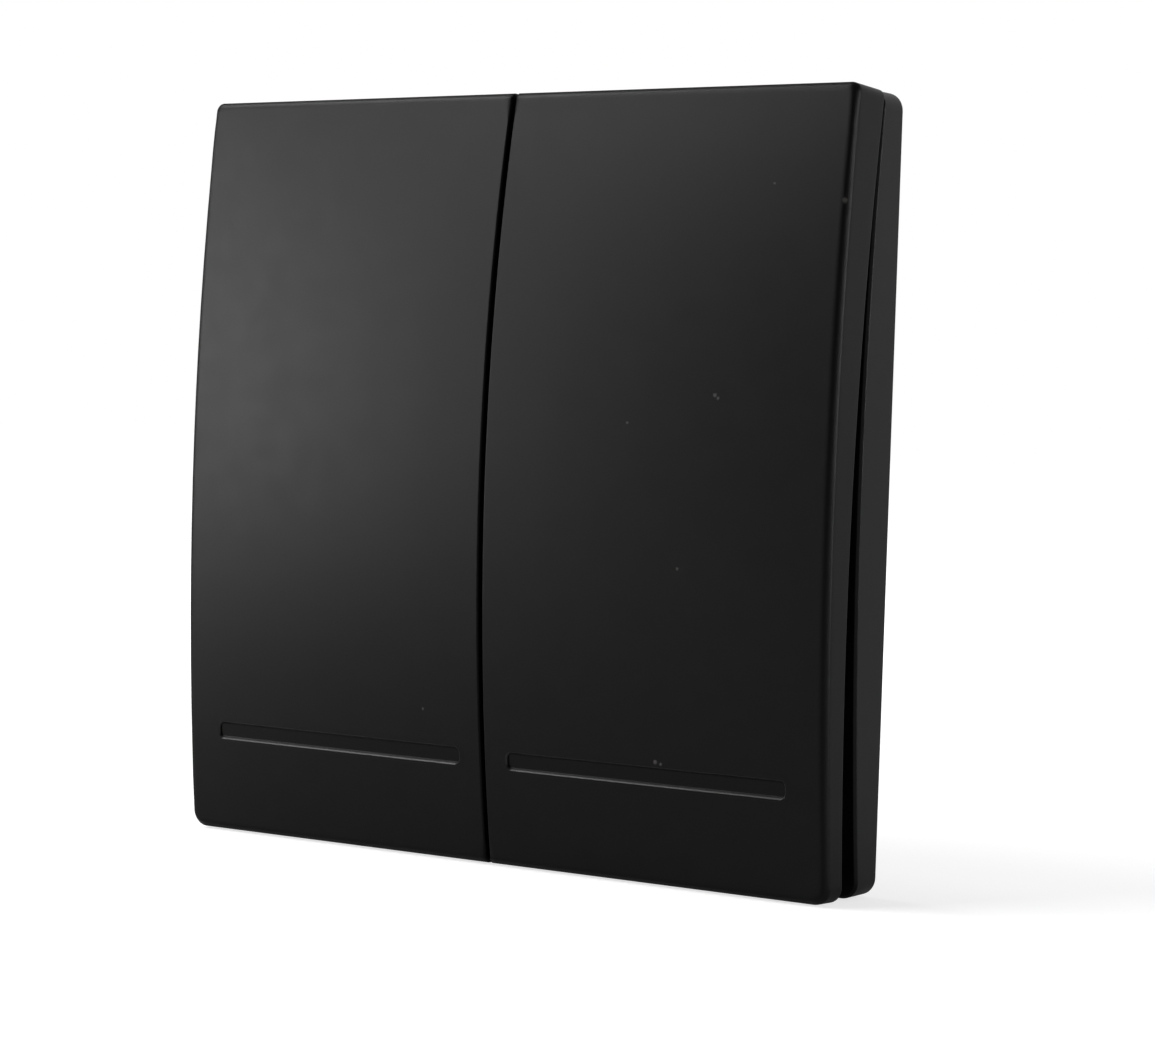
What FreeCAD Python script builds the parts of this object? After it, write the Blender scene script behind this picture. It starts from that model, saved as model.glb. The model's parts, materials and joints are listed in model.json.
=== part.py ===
import FreeCAD, Part
import os
import Sketcher

# Two-gang wireless wall switch for a standard 86 mm plate.
# X runs to the right, Y into the wall and Z up. The origin is the centre of the back face,
# on the wall. Depth is measured from the wall towards the room, so y = -depth.
# The rockers are drawn pressed home and the swing levers halfway through their stroke.
# Both are then swung out to where they rest.

doc = FreeCAD.newDocument("wall_switch")
sheet = doc.addObject("Spreadsheet::Sheet", "size")

DRIVING_SIZES = {
    # plate and back plate
    "plate_width": 86,
    "plate_height": 86,
    "corner_top": 2,
    "corner_low": 2,
    "plate_floor": 1.6,
    "rim_wall": 1.8,
    "rim_end": 4.1,
    "rim_mid": 6.6,
    "rim_edge": 0.3,
    "screw_inset": 12.85,
    "slot_width": 4.2,
    "slot_length": 8,
    "pry_width": 10,
    "pry_depth": 2.8,
    "snap_place": 24,
    "snap_width": 8,
    "snap_reach": 0.6,
    "snap_low": 2.3,
    "snap_high": 3.4,
    "snap_gap": 0.1,
    # chassis
    "chassis_gap": 0.3,
    "chassis_floor": 1.2,
    "skirt_wall": 1.2,
    "skirt_top": 8.2,
    "skirt_mid": 8.8,
    "skirt_low": 5.9,
    "chassis_corner": 1.5,
    "spine_width": 2,
    "spine_depth": 4,
    # rockers
    "split_gap": 0.5,
    "closed_gap": 0.3,
    "key_corner_top": 1,
    "key_corner_low": 1.8,
    "crown_top": 10.4,
    "crown_mid": 12.86,
    "crown_low": 7.7,
    "side_drop": 1.35,
    "shell_wall": 1.5,
    "split_wall": 2,
    "front_bevel": 0.55,
    "split_bevel": 0.15,
    "rib_thickness": 1,
    "rib_place": 8.5,
    "rib_inset": 5,
    "rib_top_depth": 8.6,
    "rib_low_depth": 6,
    "cross_rib_upper_rise": 2.3,
    "cross_rib_upper_depth": 9,
    "cross_rib_lower_rise": 8,
    "cross_rib_lower_depth": 8.4,
    # finger mark, a shallow bar near the lower edge of each rocker
    "mark_start": 3.1,
    "mark_margin": 4.7,
    "mark_width": 2.1,
    "mark_inset": 11.85,
    "mark_sink": 0.28,
    # hinge and catches
    "rest_angle": 2.2,
    "hinge_inset": 4,
    "hinge_depth": 6,
    "hinge_pin": 1,
    "running_gap": 0.06,
    "post_inner": 6,
    "post_margin": 8,
    "post_width": 2.5,
    "post_half": 2.2,
    "post_rise": 1.9,
    "post_slot": 0.8,
    "ear_width": 1.6,
    "ear_gap": 0.2,
    "ear_margin": 2.2,
    "catch_inner": 7.5,
    "catch_margin": 7.5,
    "catch_inset": 10,
    "catch_wall": 1.2,
    "catch_half": 3.4,
    "catch_window": 2.5,
    "catch_tongue": 2,
    "catch_ledge": 5.65,
    "catch_bridge": 1,
    "catch_gap": 0.08,
    "catch_side_gap": 0.25,
    "barb_reach": 1.7,
    "barb_thickness": 0.9,
    "tongue_thickness": 1.2,
    # pushing posts
    "press_margin": 21.4,
    "press_inset": 15,
    "press_radius": 2,
    "press_gap": 0.1,
    "touch_inset": 10.2,
    "touch_radius": 1.2,
    # generator: lever, rotor, core and coil
    "lever_reach": 25,
    "rotor_clear": 1.2,
    "pivot_pin": 0.9,
    "lever_thickness": 1.8,
    "arm_width": 2,
    "arm_drop": 0.2,
    "tip_margin": 2.5,
    "tip_half": 4.5,
    "pack_half_width": 4.2,
    "pack_half_height": 3.4,
    "magnet_width": 6,
    "magnet_height": 5,
    "magnet_thickness": 2.8,
    "plate_length": 19,
    "plate_thickness": 1,
    "plate_side_gap": 0.1,
    "core_thickness": 1.5,
    "core_width": 3,
    "core_place": 10,
    "tongue_place": 8,
    "tongue_reach": 3,
    "bobbin_wall": 0.8,
    "bobbin_gap": 0.05,
    "bobbin_half_width": 3.7,
    "bobbin_half_depth": 2.8,
    "bobbin_end_gap": 0.2,
    "winding_half_width": 3.4,
    "winding_half_depth": 2.5,
    "winding_corner": 1.2,
    # generator frame
    "frame_left": 8.2,
    "frame_right": 15.2,
    "frame_above": 13,
    "frame_below": 12.8,
    "frame_floor": 0.8,
    "frame_curb": 1,
    "curb_height": 1,
    "bearing_wall": 1.4,
    "bearing_half": 2.5,
    "bearing_rise": 2,
    "bearing_side_gap": 0.4,
    "pin_slot": 0.7,
    "rotor_window_half": 10.5,
    "lug_radius": 2.2,
    "lug_thickness": 1,
    "lug_place": 11.5,
    "lug_drop": 2.4,
    "lug_boss": 2,
    "hook_place": 6,
    "hook_half": 2.5,
    "hook_wall": 1.2,
    "hook_reach": 0.8,
    # hairpin spring under the lever's arm
    "hairpin_thickness": 0.2,
    "hairpin_width": 1.6,
    "hairpin_bend": 0.55,
    "hairpin_top_drop": 3.5,
    "hairpin_tip_drop": 10,
    "hairpin_gap": 0.05,
    # circuit board
    "board_margin": 9,
    "board_length": 20.6,
    "board_gap": 1.6,
    "board_depth": 5,
    "board_thickness": 1,
    "board_screw_margin": 2.5,
    "pad_height": 2,
    "pad_inset": 1.4,
    "board_boss": 2.3,
    "chip_size": 6,
    "chip_thickness": 1,
    "crystal_length": 5,
    "crystal_width": 3.2,
    "crystal_thickness": 1.1,
    "capacitor_length": 7.3,
    "capacitor_width": 4.3,
    "capacitor_thickness": 2.8,
    "rectifier_size": 4.4,
    "rectifier_thickness": 1.6,
    "choke_radius": 2.4,
    "choke_thickness": 2.4,
    "chip_drop": 1,
    "crystal_place": -8,
    "power_drop": 6,
    "capacitor_shift": 8.1,
    "rectifier_shift": 4.9,
    "choke_drop": 7,
    # antenna strip
    "antenna_shift": 11.6,
    "antenna_pitch": 3.6,
    "antenna_links": 4,
    "antenna_strip": 1.2,
    "antenna_low": 5.2,
    "antenna_top": 9.4,
    "antenna_lift": 1.6,
    "antenna_thickness": 0.4,
    # contact nipples
    "nipple_foot": 3.4,
    "nipple_base": 2.6,
    "nipple_top": 1.5,
    "nipple_wall": 0.6,
    "nipple_height": 2,
    # screws
    "screw_radius": 1,
    "screw_head": 1.8,
    "screw_head_height": 1.1,
    "screw_bite": 2.4,
    "screw_slot": 0.5,
    "pilot_gap": 0.05,
}

for row, (name, value) in enumerate(DRIVING_SIZES.items(), 1):
    sheet.set(f"A{row}", name)
    sheet.set(f"B{row}", str(value))
    sheet.setAlias(f"B{row}", name)
doc.recompute()

# Lengths that follow from the driving sizes, as expressions.
HALF_WIDTH = "(size.plate_width / 2)"
HALF_HEIGHT = "(size.plate_height / 2)"
INNER_WIDTH = f"({HALF_WIDTH} - size.rim_wall)"
INNER_HEIGHT = f"({HALF_HEIGHT} - size.rim_wall)"
CHASSIS_WIDTH = f"({INNER_WIDTH} - size.chassis_gap)"
CHASSIS_HEIGHT = f"({INNER_HEIGHT} - size.chassis_gap)"
SKIRT_WIDTH = f"({CHASSIS_WIDTH} - size.skirt_wall)"
SKIRT_HEIGHT = f"({CHASSIS_HEIGHT} - size.skirt_wall)"
CHASSIS_FACE = "(size.plate_floor + size.chassis_floor)"
BOARD_FACE = "(size.board_depth + size.board_thickness)"
ROCKER_START = "(size.split_gap / 2)"
FRAME_FACE = f"({CHASSIS_FACE} + size.frame_floor)"
PACK_HALF = "(size.magnet_thickness / 2)"
LUG_SEAT = f"({CHASSIS_FACE} + size.lug_boss)"
HINGE_HEIGHT = f"({HALF_HEIGHT} - size.hinge_inset)"
CATCH_HEIGHT = f"-({HALF_HEIGHT} - size.catch_inset)"
PRESS_HEIGHT = f"-({HALF_HEIGHT} - size.press_inset)"
MARK_HEIGHT = f"-({HALF_HEIGHT} - size.mark_inset)"
PIVOT_HEIGHT = f"({PRESS_HEIGHT} + size.lever_reach)"
RIB_TOP = f"({HINGE_HEIGHT} - size.rib_inset)"
RIB_LOW = f"({CATCH_HEIGHT} + size.rib_inset)"
FRAME_TOP = f"({PIVOT_HEIGHT} + size.frame_above)"
FRAME_LOW = f"({PIVOT_HEIGHT} - size.frame_below)"
LUG_HEIGHT = f"({FRAME_LOW} - size.lug_drop)"
ARM_END = f"({FRAME_LOW} - size.arm_drop)"
TIP_END = f"({PRESS_HEIGHT} - size.tip_margin)"
BOARD_TOP = f"({HINGE_HEIGHT} - size.post_half - size.board_gap)"
BOARD_LOW = f"({BOARD_TOP} - size.board_length)"
TOUCH_HEIGHT = f"({BOARD_TOP} - size.touch_inset)"
POWER_HEIGHT = f"({TOUCH_HEIGHT} - size.power_drop)"
EAR_HALF = "(size.hinge_inset - size.ear_margin)"
POST_OUTER = f"({HALF_WIDTH} - size.post_margin)"
CATCH_OUTER = f"({HALF_WIDTH} - size.catch_margin)"
PRESS_PLACE = f"({HALF_WIDTH} - size.press_margin)"
BOARD_HALF = f"({HALF_WIDTH} - size.board_margin)"
BOARD_SCREW_PLACE = f"({BOARD_HALF} - size.board_screw_margin)"
PIVOT_DEPTH = f"({CHASSIS_FACE} + size.rotor_clear + size.plate_thickness + {PACK_HALF})"
PRESS_ARM = f"({HINGE_HEIGHT} - ({PRESS_HEIGHT}))"
LEVER_SWING = f"(size.rest_angle * {PRESS_ARM} / size.lever_reach)"
MARK_END = f"({HALF_WIDTH} - size.mark_margin)"
CORE_X = f"({PRESS_PLACE} + size.core_place)"
CLEAR = "20"


def number(expression):
    """The value of an expression in millimetres or degrees."""
    return float(sheet.evalExpression(expression))


def negative(expression):
    return f"-({expression})"


def crown(across, up):
    """Depth of a pressed rocker's front, arched from top to bottom and from side to side."""
    level = f"(({up}) / {HALF_HEIGHT})"
    reach = f"(({across}) / {HALF_WIDTH})"
    tilt = "(size.crown_top - size.crown_low) / 2"
    arch = "((size.crown_top + size.crown_low) / 2 - size.crown_mid)"
    return (f"(size.crown_mid + {tilt} * {level} + {arch} * {level}^2"
            f" - size.side_drop * {reach}^2 * (1 - {level}^2))")


def sketch_on(body, name, role, offset):
    """A sketch on one of the body's own origin planes, moved along its normal."""
    plane = next(item for item in body.Origin.OriginFeatures if item.Role == role)
    sketch = body.newObject("Sketcher::SketchObject", name)
    sketch.AttachmentSupport = [(plane, "")]
    sketch.MapMode = "FlatFace"
    sketch.setExpression("AttachmentOffset.Base.z", offset)
    return sketch


def pin_point(sketch, curve, end, x, y):
    """Ties one point of a curve to two expressions."""
    for kind, expression in (("DistanceX", x), ("DistanceY", y)):
        index = sketch.addConstraint(
            Sketcher.Constraint(kind, -1, 1, curve, end, number(expression)))
        sketch.setExpression(f"Constraints[{index}]", expression)


def draw_outline(sketch, corners, arcs=None):
    """A closed outline through its corners; arcs gives a point that a side bends through."""
    arcs = arcs or {}
    spots = [FreeCAD.Vector(number(x), number(y), 0) for x, y in corners]
    ends = []
    for side, start in enumerate(spots):
        finish = spots[(side + 1) % len(spots)]
        if side in arcs:
            bend = FreeCAD.Vector(*(number(part) for part in arcs[side]), 0)
            clockwise = (bend - start).cross(finish - bend).z < 0
            first, last = (finish, start) if clockwise else (start, finish)
            curve = sketch.addGeometry(Part.Arc(first, bend, last))
            ends.append((curve, 2, 1) if clockwise else (curve, 1, 2))
        else:
            curve = sketch.addGeometry(Part.LineSegment(start, finish))
            ends.append((curve, 1, 2))
    for side, (curve, start, finish) in enumerate(ends):
        after, after_start, _ = ends[(side + 1) % len(ends)]
        sketch.addConstraint(Sketcher.Constraint("Coincident", curve, finish, after, after_start))
        pin_point(sketch, curve, start, *corners[side])
    for side, bend in arcs.items():
        spot = FreeCAD.Vector(number(bend[0]), number(bend[1]), 0)
        point = sketch.addGeometry(Part.Point(spot), True)
        sketch.addConstraint(Sketcher.Constraint("PointOnObject", point, 1, ends[side][0]))
        pin_point(sketch, point, 1, *bend)


def draw_circle(sketch, x, y, radius):
    centre = FreeCAD.Vector(number(x), number(y), 0)
    curve = sketch.addGeometry(
        Part.Circle(centre, FreeCAD.Vector(0, 0, 1), number(radius)))
    pin_point(sketch, curve, 3, x, y)
    index = sketch.addConstraint(Sketcher.Constraint("Radius", curve, number(radius)))
    sketch.setExpression(f"Constraints[{index}]", radius)


def rectangle(left, low, right, top):
    return {"corners": [(left, low), (right, low), (right, top), (left, top)]}


def circle(x, y, radius):
    return {"circle": (x, y, radius)}


def slot(x, y, length, width, upright=False):
    """A round-ended slot's outline, lying along X or standing upright."""
    half = f"({width}) / 2"
    run = f"(({length}) / 2 - {half})"
    if upright:
        corners = [(f"{x} + {half}", f"{y} - {run}"), (f"{x} + {half}", f"{y} + {run}"),
                   (f"{x} - {half}", f"{y} + {run}"), (f"{x} - {half}", f"{y} - {run}")]
        arcs = {1: (x, f"{y} + {run} + {half}"), 3: (x, f"{y} - {run} - {half}")}
    else:
        corners = [(f"{x} - {run}", f"{y} - {half}"), (f"{x} + {run}", f"{y} - {half}"),
                   (f"{x} + {run}", f"{y} + {half}"), (f"{x} - {run}", f"{y} + {half}")]
        arcs = {1: (f"{x} + {run} + {half}", y), 3: (f"{x} - {run} - {half}", y)}
    return {"corners": corners, "arcs": arcs}


def draw(sketch, outlines):
    for outline in outlines:
        if "circle" in outline:
            draw_circle(sketch, *outline["circle"])
        else:
            draw_outline(sketch, outline["corners"], outline.get("arcs"))


def feature_on(kind, body, name, role, outlines, offset, length):
    sketch = sketch_on(body, name + "_sketch", role, offset)
    draw(sketch, outlines)
    feature = body.newObject(kind, name)
    feature.Profile = sketch
    feature.setExpression("Length", length)
    return feature


def build_out(body, name, outlines, low, high, role="XZ_Plane"):
    """Adds the outlines between two depths, or two places along another plane's normal."""
    return feature_on("PartDesign::Pad", body, name, role, outlines, low, f"{high} - ({low})")


def cut_out(body, name, outlines, low, high, role="XZ_Plane"):
    """Cuts the outlines between two depths, or two places along another plane's normal."""
    return feature_on("PartDesign::Pocket", body, name, role, outlines, high, f"{high} - ({low})")


def loft(kind, body, name, sections):
    """A smooth loft through upright sections, each (place along X, corners, arcs)."""
    sketches = []
    for count, (place, corners, arcs) in enumerate(sections):
        sketch = sketch_on(body, f"{name}_section_{count}", "YZ_Plane", place)
        draw_outline(sketch, corners, arcs)
        sketches.append(sketch)
    feature = body.newObject(kind, name)
    feature.Profile = sketches[0]
    feature.Sections = sketches[1:]
    return feature


def dress(kind, body, name, chosen, size_name, size):
    """Rounds or bevels the edges that the test picks on the body so far."""
    doc.recompute()
    base = body.Tip
    names = [f"Edge{count}" for count, edge in enumerate(base.Shape.Edges, 1) if chosen(edge)]
    feature = body.newObject(kind, name)
    feature.Base = (base, names)
    feature.setExpression(size_name, size)
    return feature


def fillet(body, name, chosen, radius):
    return dress("PartDesign::Fillet", body, name, chosen, "Radius", radius)


def chamfer(body, name, chosen, size):
    return dress("PartDesign::Chamfer", body, name, chosen, "Size", size)


def at_corner(*places):
    """Picks edges that run straight into the wall at the given (x, z) places."""
    spots = [(number(x), number(z)) for x, z in places]

    def chosen(edge):
        box = edge.BoundBox
        small = box.XLength < 0.5 and box.ZLength < 0.5 and box.YLength > 0.1
        return small and any(
            abs(box.Center.x - x) < 0.5 and abs(box.Center.z - z) < 0.5 for x, z in spots)

    return chosen


def new_body(label):
    body = doc.addObject("PartDesign::Body", label)
    body.Label = label
    return body


def add_primitive(kind, name, x, depth, z, **sizes):
    """A box or cylinder that starts at its back face and stands out towards the room."""
    part = doc.addObject(kind, name)
    for key, expression in sizes.items():
        part.setExpression(key, expression)
    turn = FreeCAD.Rotation(FreeCAD.Vector(1, 0, 0), 90)
    part.Placement = FreeCAD.Placement(FreeCAD.Vector(), turn)
    part.setExpression("Placement.Base.x", x)
    part.setExpression("Placement.Base.y", negative(depth))
    part.setExpression("Placement.Base.z", z)
    return part


def block(name, x, z, width, height, back, thickness):
    """A plain block centred on (x, z), from its back depth outwards."""
    return add_primitive(
        "Part::Box", name, f"{x} - ({width}) / 2", back, f"{z} - ({height}) / 2",
        Length=width, Width=height, Height=thickness)


def rod(name, x, z, radius, back, thickness):
    return add_primitive("Part::Cylinder", name, x, back, z, Radius=radius, Height=thickness)


def join(label, parts):
    """Separate solids that belong to one piece, or one kind of piece, as a group."""
    group = doc.addObject("Part::Compound", label)
    group.Links = parts
    return group


def mirror_piece(source, label):
    """The left-hand twin of a right-hand piece."""
    twin = doc.addObject("Part::Mirroring", label)
    twin.Source = source
    twin.Normal = FreeCAD.Vector(1, 0, 0)
    return twin


def turn_about(piece, depth, height, angle):
    """Swings a piece about a level axis; a positive angle moves what is below inwards."""
    centre = FreeCAD.Vector(0, -number(depth), number(height))
    turn = FreeCAD.Rotation(FreeCAD.Vector(1, 0, 0), angle)
    piece.Placement = FreeCAD.Placement(FreeCAD.Vector(), turn, centre)


def both_sides(x):
    return (x, negative(x))


def make_back_plate():
    """The tray that is fixed to the wall, with a rim whose front edge is arched."""
    body = new_body("back_plate")
    profile = {
        "corners": [("0", negative(HALF_HEIGHT)), ("-size.rim_end", negative(HALF_HEIGHT)),
                    ("-size.rim_end", HALF_HEIGHT), ("0", HALF_HEIGHT)],
        "arcs": {1: ("-size.rim_mid", "0")},
    }
    build_out(body, "block", [profile], negative(HALF_WIDTH), HALF_WIDTH, "YZ_Plane")
    tops = [(x, HALF_HEIGHT) for x in both_sides(HALF_WIDTH)]
    lows = [(x, negative(HALF_HEIGHT)) for x in both_sides(HALF_WIDTH)]
    fillet(body, "upper_corners", at_corner(*tops), "size.corner_top")
    fillet(body, "lower_corners", at_corner(*lows), "size.corner_low")
    rim_end = number("size.rim_end")

    def outer_front(edge):
        return edge.BoundBox.YMax < 0.1 - rim_end

    chamfer(body, "rim_edge", outer_front, "size.rim_edge")
    hollow = rectangle(negative(INNER_WIDTH), negative(INNER_HEIGHT), INNER_WIDTH, INNER_HEIGHT)
    cut_out(body, "hollow", [hollow], "size.plate_floor", CLEAR)
    inner = [(x, z) for x in both_sides(INNER_WIDTH) for z in both_sides(INNER_HEIGHT)]
    fillet(body, "inner_corners", at_corner(*inner), "size.chassis_corner")
    across, up = (f"({half} - size.screw_inset)" for half in (HALF_WIDTH, HALF_HEIGHT))
    size = ("size.slot_length", "size.slot_width")
    level = [slot(x, "0", *size) for x in both_sides(across)]
    upright = [slot("0", z, *size, upright=True) for z in both_sides(up)]
    cut_out(body, "screw_slots", level + upright, "0", "size.plate_floor")
    low, high = (f"({z} {sign} size.snap_width / 2)" for z, sign in
                 (("size.snap_place", "-"), ("size.snap_place", "+")))
    windows = [rectangle("-size.snap_high", z[0], "-size.snap_low", z[1])
               for z in ((low, high), (negative(high), negative(low)))]
    reach = f"({INNER_WIDTH} + size.snap_reach)"
    cut_out(body, "snap_pockets", windows, negative(reach), reach, "YZ_Plane")
    notch = rectangle("-size.pry_width / 2", negative(HALF_HEIGHT),
                      "size.pry_width / 2", negative(INNER_HEIGHT))
    cut_out(body, "pry_notch", [notch], "size.pry_depth", CLEAR)
    return body


def make_chassis():
    """The inner frame: skirt, hinge posts, catches and the seats of what it carries."""
    body = new_body("chassis")
    low, top = negative(CHASSIS_HEIGHT), CHASSIS_HEIGHT
    profile = {
        "corners": [("-size.plate_floor", low), ("-size.skirt_low", low),
                    ("-size.skirt_top", top), ("-size.plate_floor", top)],
        "arcs": {1: ("-size.skirt_mid", "0")},
    }
    build_out(body, "block", [profile], negative(CHASSIS_WIDTH), CHASSIS_WIDTH, "YZ_Plane")
    corners = [(x, z) for x in both_sides(CHASSIS_WIDTH) for z in both_sides(CHASSIS_HEIGHT)]
    fillet(body, "corners", at_corner(*corners), "size.chassis_corner")
    hollow = rectangle(negative(SKIRT_WIDTH), negative(SKIRT_HEIGHT), SKIRT_WIDTH, SKIRT_HEIGHT)
    cut_out(body, "hollow", [hollow], CHASSIS_FACE, CLEAR)
    half = "size.spine_width / 2"
    spine = rectangle(f"-{half}", negative(SKIRT_HEIGHT), half, SKIRT_HEIGHT)
    build_out(body, "spine", [spine], CHASSIS_FACE, "size.spine_depth")
    low, top = f"({BOARD_LOW} + size.pad_inset)", f"({BOARD_TOP} - size.pad_inset)"
    pads = [rectangle(f"-{half}", low, half, f"{low} + size.pad_height"),
            rectangle(f"-{half}", f"{top} - size.pad_height", half, top)]
    build_out(body, "board_pads", pads, "size.spine_depth", "size.board_depth")
    add_hinge_posts(body)
    add_catches(body)
    add_bosses(body)
    add_hooks(body)
    low, high = ("(size.snap_place - size.snap_width / 2 + size.snap_gap)",
                 "(size.snap_place + size.snap_width / 2 - size.snap_gap)")
    for side, (left, right) in {
            "left": (negative(f"{INNER_WIDTH} + size.snap_reach - size.snap_gap"),
                     negative(CHASSIS_WIDTH)),
            "right": (CHASSIS_WIDTH, f"({INNER_WIDTH} + size.snap_reach - size.snap_gap)")}.items():
        bumps = [rectangle("-(size.snap_high - size.snap_gap)", z[0],
                           "-(size.snap_low + size.snap_gap)", z[1])
                 for z in ((low, high), (negative(high), negative(low)))]
        build_out(body, f"snaps_{side}", bumps, left, right, "YZ_Plane")
    return body


def ear_spans():
    """Where the right-hand rocker's two ears start and end along X."""
    inner = "(size.post_inner - size.ear_gap)"
    outer = f"({POST_OUTER} + size.post_width + size.ear_gap)"
    return {"inner": (f"({inner} - size.ear_width)", inner),
            "outer": (outer, f"({outer} + size.ear_width)")}


def add_hinge_posts(body):
    """Four posts with open bearings that the rockers' pins snap into."""
    posts = []
    for start in ("size.post_inner", POST_OUTER):
        for sign in ("", "-"):
            posts.append(rectangle(
                f"{sign}{start}", f"{HINGE_HEIGHT} - size.post_half",
                f"{sign}({start} + size.post_width)", f"{SKIRT_HEIGHT} + size.skirt_wall / 2"))
    build_out(body, "hinge_posts", posts, CHASSIS_FACE, "size.hinge_depth + size.post_rise")
    reach = f"({POST_OUTER} + size.post_width + size.ear_gap)"
    bore = circle("-size.hinge_depth", HINGE_HEIGHT, "size.hinge_pin + size.running_gap")
    cut_out(body, "hinge_bores", [bore], negative(reach), reach, "YZ_Plane")
    mouth = rectangle("-(size.hinge_depth + size.post_rise + size.skirt_wall)",
                      f"{HINGE_HEIGHT} - size.post_slot",
                      "-size.hinge_depth", f"{HINGE_HEIGHT} + size.post_slot")
    cut_out(body, "hinge_mouths", [mouth], negative(reach), reach, "YZ_Plane")
    notches = []
    for left, right in ear_spans().values():
        for sign in ("", "-"):
            notches.append(rectangle(
                f"{sign}({left} - size.ear_gap)", f"{SKIRT_HEIGHT} - size.ear_gap",
                f"{sign}({right} + size.ear_gap)", f"{CHASSIS_HEIGHT} + size.ear_gap"))
    notch_back = f"size.hinge_depth - {EAR_HALF} - 2 * size.ear_gap"
    cut_out(body, "ear_notches", notches, notch_back, CLEAR)


def add_catches(body):
    """Upright walls with a window each, which hold the rockers at their rest stop."""
    walls, windows, holes = [], [], []
    low = f"({CATCH_HEIGHT} - size.catch_wall / 2)"
    high = f"({CATCH_HEIGHT} + size.catch_wall / 2)"
    hole_top = f"{high} + size.tongue_thickness + 2 * size.catch_side_gap"
    for place in ("size.catch_inner", CATCH_OUTER):
        for sign in ("", "-"):
            middle = f"{sign}{place}"
            walls.append(rectangle(f"{middle} - size.catch_half", low,
                                   f"{middle} + size.catch_half", high))
            windows.append(rectangle(f"{middle} - size.catch_window", "-size.catch_ledge",
                                     f"{middle} + size.catch_window", negative(CHASSIS_FACE)))
            holes.append(rectangle(f"{middle} - size.catch_window", f"{low} - size.barb_reach",
                                   f"{middle} + size.catch_window", hole_top))
    build_out(body, "catch_walls", walls, CHASSIS_FACE, "size.catch_ledge + size.catch_bridge")
    cut_out(body, "catch_windows", windows, low, high, "XY_Plane")
    cut_out(body, "catch_holes", holes, "size.plate_floor", CHASSIS_FACE)


def add_bosses(body):
    """Screw bosses under the circuit board and under the lug of each generator."""
    pilot = "size.screw_radius - size.pilot_gap"
    board = board_screw_places()
    build_out(body, "board_bosses", [circle(x, z, "size.board_boss") for x, z in board],
              CHASSIS_FACE, "size.board_depth")
    cut_out(body, "board_pilots", [circle(x, z, pilot) for x, z in board],
            "size.board_depth - size.screw_bite", "size.board_depth")
    lugs = lug_places()
    build_out(body, "lug_bosses", [circle(x, z, "size.lug_radius") for x, z in lugs],
              CHASSIS_FACE, LUG_SEAT)
    cut_out(body, "lug_pilots", [circle(x, z, pilot) for x, z in lugs],
            f"{LUG_SEAT} - size.screw_bite", LUG_SEAT)


def add_hooks(body):
    """A hook at the top of each generator, which laps over its curb."""
    top = f"({FRAME_TOP} + size.snap_gap + size.hook_wall)"
    inner = f"({FRAME_TOP} + size.snap_gap)"
    under = f"({FRAME_FACE} + size.curb_height + size.snap_gap)"
    front = f"({under} + size.hook_reach)"
    outline = {"corners": [
        (negative(CHASSIS_FACE), inner), (negative(CHASSIS_FACE), top), (negative(front), top),
        (negative(front), f"{FRAME_TOP} - size.hook_reach"),
        (negative(under), f"{FRAME_TOP} - size.hook_reach"), (negative(under), inner)]}
    near = f"({PRESS_PLACE} - size.hook_place - size.hook_half)"
    far = f"({PRESS_PLACE} - size.hook_place + size.hook_half)"
    build_out(body, "hook_left", [outline], negative(far), negative(near), "YZ_Plane")
    build_out(body, "hook_right", [outline], near, far, "YZ_Plane")


def board_screw_places():
    return [(x, TOUCH_HEIGHT) for x in both_sides(BOARD_SCREW_PLACE)]


def lug_places():
    """Centres of the screw lugs of both generators, the right-hand one first."""
    return [(x, LUG_HEIGHT) for x in both_sides(f"({PRESS_PLACE} + size.lug_place)")]


def front_section(across, low, top, sink, end):
    """An upright section between the rocker's arched front, moved by sink, and a flat end."""
    corners = [(f"-({crown(across, low)} - {sink})", low), (f"-({crown(across, top)} - {sink})", top),
               (end, top), (end, low)]
    return corners, {0: (f"-({crown(across, '0')} - {sink})", "0")}


def loft_sections(left, right, low, top, sink, end):
    middle = f"(({left} + {right}) / 2)"
    return [(x, *front_section(x, low, top, sink, end)) for x in (left, middle, right)]


def make_rocker():
    """The right-hand rocker: a moulded shell, drawn pressed home."""
    body = new_body("rocker_right")
    low, top = negative(HALF_HEIGHT), HALF_HEIGHT
    build_out(body, "block", [rectangle(ROCKER_START, low, HALF_WIDTH, top)], "size.rim_end", CLEAR)
    fillet(body, "upper_corner", at_corner((HALF_WIDTH, HALF_HEIGHT)), "size.key_corner_top")
    lower = at_corner((HALF_WIDTH, negative(HALF_HEIGHT)))
    fillet(body, "lower_corner", lower, "size.key_corner_low")
    beyond = f"({HALF_HEIGHT} + size.rim_wall)"
    loft("PartDesign::SubtractiveLoft", body, "front", loft_sections(
        "-size.rim_wall", f"({HALF_WIDTH} + size.rim_wall)", negative(beyond), beyond, "0",
        f"-({CLEAR} + 1)"))
    back_end = "-(size.rim_end + size.closed_gap)"
    back = {"corners": [("0", low), (back_end, low), (back_end, top), ("0", top)],
            "arcs": {1: ("-(size.rim_mid + size.closed_gap)", "0")}}
    cut_out(body, "back", [back], "0", HALF_WIDTH, "YZ_Plane")
    add_front_edges(body)
    inner_top = f"({HALF_HEIGHT} - size.shell_wall)"
    loft("PartDesign::SubtractiveLoft", body, "cavity", loft_sections(
        f"({ROCKER_START} + size.shell_wall)", f"({HALF_WIDTH} - size.shell_wall)",
        negative(inner_top), inner_top, "size.shell_wall", "0"))
    add_split_relief(body)
    add_mark(body)
    add_ears(body)
    add_tongues(body)
    add_ribs(body)
    add_push_posts(body)
    return body


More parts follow.
